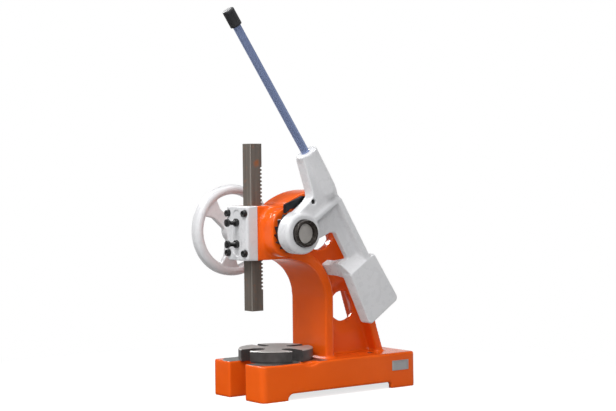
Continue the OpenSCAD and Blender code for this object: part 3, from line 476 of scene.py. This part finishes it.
bronze = mottled(
    "bronze", dark=(0.30, 0.17, 0.06), light=(0.56, 0.36, 0.16), roughness=(0.28, 0.45),
    spots=55, depth=0.05 * MM, strength=0.2, Metallic=1.0)
dressed(bronze, "left_bush", "right_bush", "yoke_bush")

# Ram and gib plate: a square bar of dark mill steel with the rack cut in its back, and the flat strip
# of the same steel that guides it. Both are ground lengthways and oiled. Their chamfered edges are painted
# lighter, as bright wear and as a painted edge highlight; a smear of rust lies beside the top of the rack.

steel_dark, steel_light = (0.088, 0.073, 0.060, 1), (0.265, 0.230, 0.198, 1)
wear_and_highlight_steel, rust_red = (0.29, 0.262, 0.235, 1), (0.40, 0.135, 0.045, 1)
least_slant = 0.3
smear_y, smear_z, smear_r, smear_ragged = 2 * MM, 637 * MM, 12 * MM, 1.4
ram_steel, tree, shader, place = new_finish("ground_ram_steel", Metallic=0.4)
streaks = mottle(tree, place, spots=140, detail=4, stretch=(1, 1, 0.035))
stains = mottle(tree, place, spots=60, detail=4)
turned_to = facing(tree, "True Normal")
slant = sum_of(tree, "ABSOLUTE", sum_of(tree, "MULTIPLY", turned_to["X"], turned_to["Y"]))
# Slanted faces, the chamfers, are painted lighter: partly bright wear, partly a painted edge highlight.
wear_and_highlight = sum_of(tree, "GREATER_THAN", slant, least_slant)
steel = between(tree, wear_and_highlight, between(tree, streaks, steel_dark, steel_light), wear_and_highlight_steel)
along = new_node(tree, "ShaderNodeSeparateXYZ", {0: place}).outputs
smear_squares = squares_from(tree, along["Y"], along["Z"], (smear_y, smear_z))
away = sum_of(tree, "DIVIDE", sum_of(tree, "SQRT", smear_squares), smear_r)
ragged = sum_of(tree, "ADD", away, sum_of(tree, "MULTIPLY", stains, smear_ragged))
smear = spread(tree, ragged, low=0.8, high=0.0, start=1.0, end=1.7)
smear = all_of(tree, smear, sum_of(tree, "GREATER_THAN", along["X"], 0.0))
rust = sum_of(tree, "MAXIMUM", smear, spread(tree, stains, low=0.0, high=0.35, start=0.58, end=0.75))
link(tree, shader, Base_Color=between(tree, rust, steel, rust_red),
     Roughness=spread(tree, streaks, low=0.36, high=0.56),
     Normal=bumps(tree, streaks, depth=0.05 * MM, strength=0.4))
dressed(ram_steel, "ram", "gib_plate")

# Front cover: a cast iron block, painted white, that closes the ram's guide.
# A shallow recess runs down its face, and the four screw seats are spot-faced.

white_thin = (0.595, 0.597, 0.612)
white_thick = (0.65, 0.652, 0.664)
white_enamel = enamel(
    "white_enamel", white_thin, white_thick, roughness=0.28, gloss_level=0.40, sand=0.15 * MM)[0]
cover_fillet, cover_edge_r = 4 * MM, 10 * MM


def cover_edge(co):
    """Radius of the edges: soft round the cast face, falling to 0 at the milled seam."""
    return cover_edge_r * fade(-co[:, 1], start=22 * MM, width=8 * MM)


skin = cast_skin("front_cover", voxel=1.1 * MM, passes=130, fillet=cover_fillet, edge=cover_edge)
cover = new_piece("cover_casting", *skin, white_enamel, "frame", "white_paint")
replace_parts(cover, "front_cover")

# Cover screws: four M12 socket-head screws in black oxide, with knurled heads.
# Each is one turned profile, with a hexagon pressed into its head.

black_oxide = mottled(
    "black_oxide", dark=(0.016, 0.016, 0.016), light=(0.065, 0.065, 0.065), roughness=(0.20, 0.38),
    spots=320, detail=3, depth=0.03 * MM, strength=0.3, Metallic=0.6)


def hexagon_r(across):
    """Distance to a hexagon's side at each angle: half its width across flats, over the cosine of the
    angle from the middle of the nearest side."""
    return across / 2 / np.cos((angles + np.pi / 6) % (np.pi / 3) - np.pi / 6)


def turned_rings(steps):
    """Rings about local z from (radius, height) steps: the radius times the cosine and sine of each angle.
    A radius may be a number or one for each angle."""
    rings = []
    for radius, height in steps:
        r = np.broadcast_to(radius, (ROUND,))
        rings.append(np.stack([r * np.cos(angles), r * np.sin(angles), np.full(ROUND, height)], axis=-1))
    return np.array(rings)


def joined(skins):
    """Several skins as one: each skin's faces count on from the points before it."""
    starts = np.cumsum([0] + [len(points) for points, _ in skins])
    faces = [[i + int(start) for i in face] for start, (_, faces) in zip(starts, skins) for face in faces]
    return np.concatenate([points for points, _ in skins]), faces


lo, hi = (np.array(c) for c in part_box("cover_screws"))
screw_r, head_r, head_h = 6 * MM, 9 * MM, 12 * MM
socket_r, socket_deep, socket_lead = hexagon_r(9.6 * MM), 6 * MM, 0.4 * MM
flutes, flute_deep = 24, 0.28 * MM
# The knurl's radius dips by the flute's depth with a cosine of the angle, once a flute.
knurl = head_r - flute_deep * (0.5 - 0.5 * np.cos(flutes * angles))
knurl_foot, knurl_top = 1.0 * MM, head_h - 1.1 * MM
point_chamfer = 1.5 * MM
screw_end = head_h - (hi[1] - lo[1])
socket_floor, socket_mouth, socket_middle_r = head_h - socket_deep, head_h - 0.7 * MM, 0.2 * socket_r
# Radius and depth below the top of each step from the socket's mouth to the knurl, in millimetres.
crown_steps = ((6.1, 0.05), (6.5, 0), (7.9, 0), (8.5, 0.2), (8.75, 0.8))
# Radius and height of each step from the knurl to the underside of the head, in millimetres.
foot_steps = ((8.75, 0.7), (8.6, 0))
screw_rings = turned_rings(
    [(socket_middle_r, socket_floor), (socket_r, socket_floor + socket_lead), (socket_r, socket_mouth)]
    + [(r * MM, head_h - drop * MM) for r, drop in crown_steps]
    + [(knurl, knurl_top), (knurl, knurl_foot)]
    + [(r * MM, height * MM) for r, height in foot_steps]
    + [(screw_r, 0), (screw_r, screw_end + point_chamfer), (screw_r - point_chamfer, screw_end)])
forward_axes = [(1, 0, 0), (0, 0, 1), (0, -1, 0)]
screw_y = lo[1] + head_h
screws = [closed_skin(stood_at(screw_rings, (x, screw_y, z), forward_axes))
          for x in (lo[0] + head_r, hi[0] - head_r) for z in (lo[2] + head_r, hi[2] - head_r)]
socket_screws = new_piece("socket_screws", *joined(screws), black_oxide, "frame", "black_oxide")
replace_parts(socket_screws, "cover_screws")

# Gib screws and lock nuts: two hexagon-head M12 set screws with full threads, in black oxide too.
# They press the gib plate against the ram, and a nut on the cover locks each of them.

across_flats, bolt_head_h, nut_h = 19 * MM, 8 * MM, 10 * MM
chamfer_r, chamfer_deep, chamfer_steps = 0.48 * across_flats, 1.3 * MM, 5
cone_slope = math.tan(math.radians(60))
thread_pitch, thread_deep, steps_a_pitch = 1.75 * MM, 1.0 * MM, 8


def hexagon_steps(low, high, low_chamfer):
    """Steps of a hexagon whose corners are cut by a cone at its top, and at its foot where asked.
    The radius is the lesser of the hexagon's and the cone's, which grows by the slope times the drop."""
    hexagon = hexagon_r(across_flats)
    drop = np.linspace(0, chamfer_deep, chamfer_steps)
    cone = chamfer_r + drop * cone_slope
    top = [(np.minimum(hexagon, c), high - d) for c, d in zip(cone, drop)]
    foot = [(np.minimum(hexagon, c), low + d) for c, d in zip(cone[::-1], drop[::-1])]
    return top + (foot if low_chamfer else [(hexagon, low)])


def thread_steps(high, low):
    """Steps down a thread: the radius rises and falls once a pitch, with the height over the pitch less
    the angle's share of a turn."""
    heights = np.arange(high, low, -thread_pitch / steps_a_pitch)
    steps = []
    for height in heights:
        phase = (height / thread_pitch - angles / (2 * np.pi)) % 1
        steps.append((screw_r - thread_deep * np.abs(2 * phase - 1), height))
    return steps


lo, hi = (np.array(c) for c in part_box("gib_screws"))
head_top = -lo[1]
under_head = head_top - bolt_head_h
nut_top = -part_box("gib_lock_nuts")[0].y
nut_foot = nut_top - nut_h
bolt_end = -hi[1]
face_r = 0.1 * across_flats
neck, thread_end, shank_top = under_head - 0.2 * MM, nut_top - 3 * MM, nut_top - 4 * MM
nut_bore_r, nut_mouth_r, nut_lead = screw_r + 0.05 * MM, screw_r + 0.6 * MM, 1 * MM
bolt_rings = turned_rings(
    [(face_r, head_top)] + hexagon_steps(under_head, head_top, False)
    + thread_steps(neck, thread_end) + [(screw_r, shank_top), (screw_r, bolt_end)])
nut_rings = turned_rings(
    [(nut_bore_r, nut_top - nut_lead), (nut_mouth_r, nut_top)]
    + hexagon_steps(nut_foot, nut_top, True) + [(nut_bore_r, nut_foot)])
bolt_z = [(lo[2] + hi[2]) / 2 + side * ((hi[2] - lo[2]) / 2 - across_flats / 2) for side in (-1, 1)]
bolts = [closed_skin(stood_at(bolt_rings, (0, 0, z), forward_axes)) for z in bolt_z]
nuts = [closed_skin(stood_at(nut_rings, (0, 0, z), forward_axes), looped=True) for z in bolt_z]
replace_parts(new_piece("gib_bolts", *joined(bolts), black_oxide, "frame", "black_oxide"), "gib_screws")
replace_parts(new_piece("gib_nuts", *joined(nuts), black_oxide, "frame", "black_oxide"), "gib_lock_nuts")

# Pinion shaft: one turned steel shaft with the pinion's teeth cut in its middle, which runs in the bushes.
# Its bright end shows inside the retaining ring, with the lathe's circles on it.

shaft_dark, shaft_light = (0.56, 0.53, 0.50, 1), (0.86, 0.82, 0.78, 1)
turned_steel, tree, shader, place = new_finish("turned_steel", Metallic=0.5)
circles = lathe_lines(tree, place, centre=(0, shaft_y, shaft_z), axis="X", lines=300, ripple=0.6)
cloud = mottle(tree, place, spots=45, detail=4)
link(tree, shader, Base_Color=between(tree, cloud, shaft_dark, shaft_light),
     Roughness=spread(tree, cloud, low=0.34, high=0.50),
     Normal=bumps(tree, circles, depth=0.05 * MM, strength=0.35))
dressed(turned_steel, "pinion_shaft")

# Ratchet wheel and pawl: tool steel, milled, hardened and blued.
# The wheel is keyed to the shaft; the pawl swings on a pin in the yoke, held by a ring.

tool_steel = mottled(
    "blued_tool_steel", dark=(0.016, 0.018, 0.022), light=(0.055, 0.058, 0.066), roughness=(0.30, 0.46),
    spots=60, depth=0.04 * MM, strength=0.3, Metallic=0.9)
dressed(tool_steel, "ratchet_wheel", "pawl")
dressed(bright_steel, "ratchet_key")
dressed(black_oxide, "pawl_pin", "pawl_pin_ring")

# Handwheel: a cast iron wheel on the left end of the shaft, painted white.
# Three flat spokes run out from the hub and flare into the round rim.
# A key drives it, and a screw and washer hold it on the shaft.

wheel_fillet, wheel_edge = 16 * MM, 6 * MM
skin = cast_skin("handwheel", voxel=1.4 * MM, passes=110, fillet=wheel_fillet, edge=wheel_edge)
wheel = new_piece("handwheel_casting", *skin, white_enamel, "pinion", "white_paint")
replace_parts(wheel, "handwheel")
dressed(bright_steel, "handwheel_key")
dressed(turned_steel, "handwheel_washer")
dressed(black_oxide, "handwheel_screw")

# Lever yoke: one iron casting, painted white, with the hub, the socket for the rod, a straight beam,
# the counterweight and the stop lug. It swings on the shaft's end.

lever_tilt = math.radians(33.6)
across = np.array([0, math.cos(lever_tilt), math.sin(lever_tilt)])
upward = np.array([0, -math.sin(lever_tilt), math.cos(lever_tilt)])
shaft_place = np.array([0, shaft_y, shaft_z])
pin_v, pin_u, pin_r = 76 * MM, 49 * MM, 7 * MM
rod_x, rod_v, rod_bore_r = 160.5 * MM, 137 * MM, 12 * MM
foot_v, foot_low, foot_high, back_v = 25 * MM, 5 * MM, 85 * MM, 140 * MM
foot_fillet, yoke_fillet_r = 90 * MM, 26 * MM
foot_edge, yoke_edge_r = 60 * MM, 6 * MM
socket_heights = np.array([10, 41, 164]) * MM
socket_widening = np.array([0, -0.08, 0.11])


def on_lever(co):
    """Distances v across the rod and u along it, from the shaft."""
    off = co - shaft_place
    return off @ across, off @ upward


def beside_pin(v, u):
    """0 in the pawl pin's hole, rising to 1 outside it."""
    return fade(np.hypot(v - pin_v, u - pin_u), start=pin_r + 1 * MM, width=4 * MM)


def yoke_fillet(co):
    """Radius of the inside corners, largest round the foot of the socket, where it runs out into the hub
    and the beam."""
    v, u = on_lever(co)
    at_foot = (v > foot_v) & (u > foot_low)
    return np.where(at_foot, foot_fillet, yoke_fillet_r) * beside_pin(v, u)


def yoke_edge(co):
    """Radius of the outside edges, largest behind the foot of the socket."""
    v, u = on_lever(co)
    behind_foot = (v > back_v) & (u > foot_low) & (u < foot_high)
    return np.where(behind_foot, foot_edge, yoke_edge_r) * beside_pin(v, u)


def socket_trued(co):
    """The socket's back runs straight on from the beam. A point behind the rod's axis moves away from
    that axis by a share of its distance, which changes evenly from the socket's toe to its foot and its
    mouth. The bore stays."""
    v, u = on_lever(co)
    x, v = co[:, 0] - rod_x, v - rod_v
    share = np.interp(u, socket_heights, socket_widening)
    share *= fade(v, start=0, width=15 * MM) * fade(np.hypot(x, v), start=rod_bore_r, width=6 * MM)
    return co + (share * v)[:, None] * across + (share * x)[:, None] * np.array([1, 0, 0])


co, quads = cast_skin("lever_yoke", voxel=1.65 * MM, passes=130, fillet=yoke_fillet, edge=yoke_edge)
yoke = new_piece("yoke_casting", socket_trued(co), quads, white_enamel, "lever", "white_paint")
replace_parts(yoke, "lever_yoke")

# Retaining ring: a black steel collar on the shaft's end, which holds the yoke's hub.
# It is turned, with its edges broken, sits tight on the shaft and is dark with oil.

lo, hi = (np.array(c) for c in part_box("retaining_ring"))
ring_out, ring_in, edge = (hi[2] - lo[2]) / 2, 26.02 * MM, 1.2 * MM
recess_deep, recess_end = 12 * MM, 13 * MM
# Inset from the rim or the bore and depth below the face of each step, as shares of the broken edge.
rim_steps = ((0, 2), (0.25, 0.9), (1, 0.2), (1.6, 0))
mouth_steps = ((2.6, 0), (2, 0.3), (1.7, 1))
recess_r = ring_in + mouth_steps[-1][0] * edge
ring_rings = turned_rings(
    [(ring_in, lo[0]), (ring_out - edge, lo[0]), (ring_out, lo[0] + edge)]
    + [(ring_out - inset * edge, hi[0] - drop * edge) for inset, drop in rim_steps]
    + [(ring_in + inset * edge, hi[0] - drop * edge) for inset, drop in mouth_steps]
    + [(recess_r, hi[0] - recess_deep), (ring_in, hi[0] - recess_end)])
ring_rings = stood_at(ring_rings, shaft_place, sideways_axes)
oiled_black = mottled(
    "oiled_black", dark=(0.016, 0.014, 0.013), light=(0.085, 0.072, 0.064), roughness=(0.18, 0.36),
    spots=90, depth=0.08 * MM, strength=0.4, Metallic=0.5)
ring = new_piece("collar", *closed_skin(ring_rings, looped=True), oiled_black, "pinion", "black_oxide")
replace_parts(ring, "retaining_ring")

# Lever rod: a bar of bright drawn steel, clamped in the yoke's socket by a set screw.
# Fine drawing lines run along it.

rod_steel = mottled(
    "drawn_rod_steel", dark=(0.20, 0.26, 0.48), light=(0.34, 0.41, 0.62), roughness=(0.20, 0.34),
    spots=150, detail=2, turn=-lever_tilt, stretch=(1, 1, 0.02),
    depth=0.03 * MM, strength=0.3, Metallic=0.45)
dressed(rod_steel, "lever_rod")
dressed(bright_steel, "rod_set_screw")

# Rod cap: a moulded cap of black rubber with shallow grip ribs.
# It is pushed onto the rod's end.

cap_foot, cap_top, cap_r, cap_bore_r = 557 * MM, 605 * MM, 15.9 * MM, 11.05 * MM
rod_foot = shaft_place + (rod_x, 0, 0) + rod_v * across
rib_count, rib_deep = 24, 0.3 * MM
ribs = cap_r - rib_deep * (0.5 - 0.5 * np.cos(rib_count * angles))
rib_foot, rib_top = cap_foot + 6 * MM, cap_top - 9 * MM
# Inset from the cap's side and distance from its foot or its top of each step, in millimetres.
cap_foot_steps = ((2, 0), (0.6, 0.6), (0, 2), (0, 5))
cap_top_steps = ((0, 8), (0, 4), (0.6, 2), (2.2, 0.6), (4, 0.1), (8, 0))
cap_rings = turned_rings(
    [(cap_bore_r, cap_foot)]
    + [(cap_r - inset * MM, cap_foot + rise * MM) for inset, rise in cap_foot_steps]
    + [(ribs, rib_foot), (ribs, rib_top)]
    + [(cap_r - inset * MM, cap_top - drop * MM) for inset, drop in cap_top_steps])
cap_rings = stood_at(cap_rings, rod_foot, [(1, 0, 0), across, upward])
black_rubber = mottled(
    "black_rubber", dark=(0.012, 0.012, 0.014), light=(0.032, 0.032, 0.036), roughness=(0.45, 0.62),
    spots=700, detail=2, depth=0.08 * MM, strength=0.4)
cap = new_piece("grip_cap", *closed_skin(cap_rings), black_rubber, "lever", "black_rubber")
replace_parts(cap, "rod_cap")

# Stage: a pale floor under soft studio light, with a white backdrop behind the press.
# The floor fades to the backdrop's white away from the press.

floor_reach = 30.0
mesh = bpy.data.meshes.new("floor")
corners = [(sx * floor_reach, sy * floor_reach, 0) for sx, sy in ((-1, -1), (1, -1), (1, 1), (-1, 1))]
mesh.from_pydata(corners, [], [(0, 1, 2, 3)])
floor = bpy.data.objects.new("floor", mesh)
bpy.context.scene.collection.objects.link(floor)


def seen_rays(tree):
    """Two masks of the rays that show the backdrop: the camera's own, and those in metal and glass."""
    ray = new_node(tree, "ShaderNodeLightPath").outputs
    glossy = sum_of(tree, "MAXIMUM", ray["Is Glossy Ray"], ray["Is Transmission Ray"])
    return ray["Is Camera Ray"], glossy


hall = 0.07
mirror_side = (-0.6, 0.8, 0.0)


def backdrop_level(tree, look):
    """Light of the sheet in mirrors: white behind the press, falling to the dim hall on the other sides
    with the dot product of the look and the sheet's side."""
    behind = vector_sum(tree, "DOT_PRODUCT", "Value", look, mirror_side)
    return spread(tree, behind, low=hall, high=1.0, start=0.0, end=0.75)


white, floor_grey, floor_glow = (1, 1, 1, 1), (0.40, 0.40, 0.40, 1), 0.74
pale_floor = bpy.data.materials.new("pale_floor")
pale_floor.use_nodes = True
tree = pale_floor.node_tree
tree.nodes.clear()
camera_ray, glossy_ray = seen_rays(tree)
lit = new_node(tree, "ShaderNodeBsdfDiffuse", {"Color": floor_grey}).outputs[0]
glow = new_node(tree, "ShaderNodeEmission", {"Color": white, "Strength": floor_glow}).outputs[0]
near = new_node(tree, "ShaderNodeAddShader", {0: lit, 1: glow}).outputs[0]
sheet_white = new_node(tree, "ShaderNodeEmission", {"Color": white, "Strength": 1.0}).outputs[0]
place = new_node(tree, "ShaderNodeTexCoord").outputs["Object"]
away = vector_sum(tree, "LENGTH", "Value", place)
faded = spread(tree, away, low=0.0, high=1.0, start=0.5, end=1.2)
shown = new_node(tree, "ShaderNodeMixShader", {0: faded, 1: near, 2: sheet_white}).outputs[0]
outward = vector_sum(tree, "NORMALIZE", "Vector", place)
far = spread(tree, away, low=0.0, high=1.0, start=0.3, end=1.3)
mirror_level = sum_of(tree, "MULTIPLY", backdrop_level(tree, outward), far)
mirror = new_node(tree, "ShaderNodeEmission", {"Strength": mirror_level}).outputs[0]
surface = new_node(tree, "ShaderNodeMixShader", {0: glossy_ray, 1: lit, 2: mirror}).outputs[0]
surface = new_node(tree, "ShaderNodeMixShader", {0: camera_ray, 1: surface, 2: shown}).outputs[0]
new_node(tree, "ShaderNodeOutputMaterial", {"Surface": surface})
mesh.materials.append(pale_floor)

bright_side = (0.45, -0.85, 0.20)
world = bpy.data.worlds.new("studio")
bpy.context.scene.world = world
world.use_nodes = True
tree = world.node_tree
tree.nodes.clear()
camera_ray, glossy_ray = seen_rays(tree)
look = new_node(tree, "ShaderNodeTexCoord").outputs["Generated"]
rise = sum_of(tree, "ABSOLUTE", new_node(tree, "ShaderNodeSeparateXYZ", {0: look}).outputs["Z"])
above = spread(tree, rise, low=0.0, high=1.0, start=0.10, end=0.34)
backdrop = level_between(tree, above, backdrop_level(tree, look), hall)
lit_from = vector_sum(tree, "DOT_PRODUCT", "Value", look, bright_side)
soft_light = spread(tree, lit_from, low=0.12, high=0.72, start=-1.0, end=1.0)
mirrored = level_between(tree, glossy_ray, soft_light, backdrop)
strength = level_between(tree, camera_ray, mirrored, 1.0)
sky = new_node(tree, "ShaderNodeBackground", {"Color": white, "Strength": strength}).outputs[0]
new_node(tree, "ShaderNodeOutputWorld", {"Surface": sky})


def softbox(name, place, aim, width, power):
    """A square lamp of that width and power, set at place and turned to aim."""
    lamp = bpy.data.lights.new(name, "AREA")
    lamp.size = width
    lamp.energy = power
    holder = bpy.data.objects.new(name, lamp)
    holder.location = place
    holder.rotation_euler = (Vector(aim) - Vector(place)).to_track_quat("-Z", "Y").to_euler()
    bpy.context.scene.collection.objects.link(holder)
    return holder


lamp_aim = (0.0, 0.15, 0.45)
softbox("key", place=(0.56, -2.20, 3.11), aim=lamp_aim, width=1.8, power=102)
softbox("right_lamp", place=(2.45, -1.50, 1.50), aim=lamp_aim, width=1.4, power=22)
softbox("top_lamp", place=(0.70, 1.10, 3.20), aim=lamp_aim, width=1.4, power=32)
glint_lamp = softbox("glint_lamp", place=(-2.24, -0.43, 2.66), aim=lamp_aim, width=1.2, power=150)
glint_lamp.visible_diffuse = False

# The camera as it was fitted to the photograph: its turn, dip, roll and place, and its lens in pixels.
view_turn = math.radians(53.249)
view_dip = math.radians(1.450)
view_roll = math.radians(-0.663)
view_place = np.array([3408.7, -2357.8, 625.4]) * MM
lens_px, image_px, sensor_w = 1524.2, 616, 36.0
forward = np.array([-math.sin(view_turn) * math.cos(view_dip),
                    math.cos(view_turn) * math.cos(view_dip), -math.sin(view_dip)])
level = np.array([math.cos(view_turn), math.sin(view_turn), 0.0])
upright = np.cross(level, forward)
right = math.cos(view_roll) * level + math.sin(view_roll) * upright
up = math.cos(view_roll) * upright - math.sin(view_roll) * level
lens = bpy.data.cameras.new("camera")
lens.sensor_width = sensor_w
lens.lens = lens_px * lens.sensor_width / image_px
camera = bpy.data.objects.new("camera", lens)
bpy.context.scene.collection.objects.link(camera)
stand = np.eye(4)
stand[:3] = np.stack([right, up, -forward, view_place], axis=1)
camera.matrix_world = Matrix(stand.tolist())
bpy.context.scene.camera = camera
bpy.context.scene.view_settings.view_transform = "Standard"
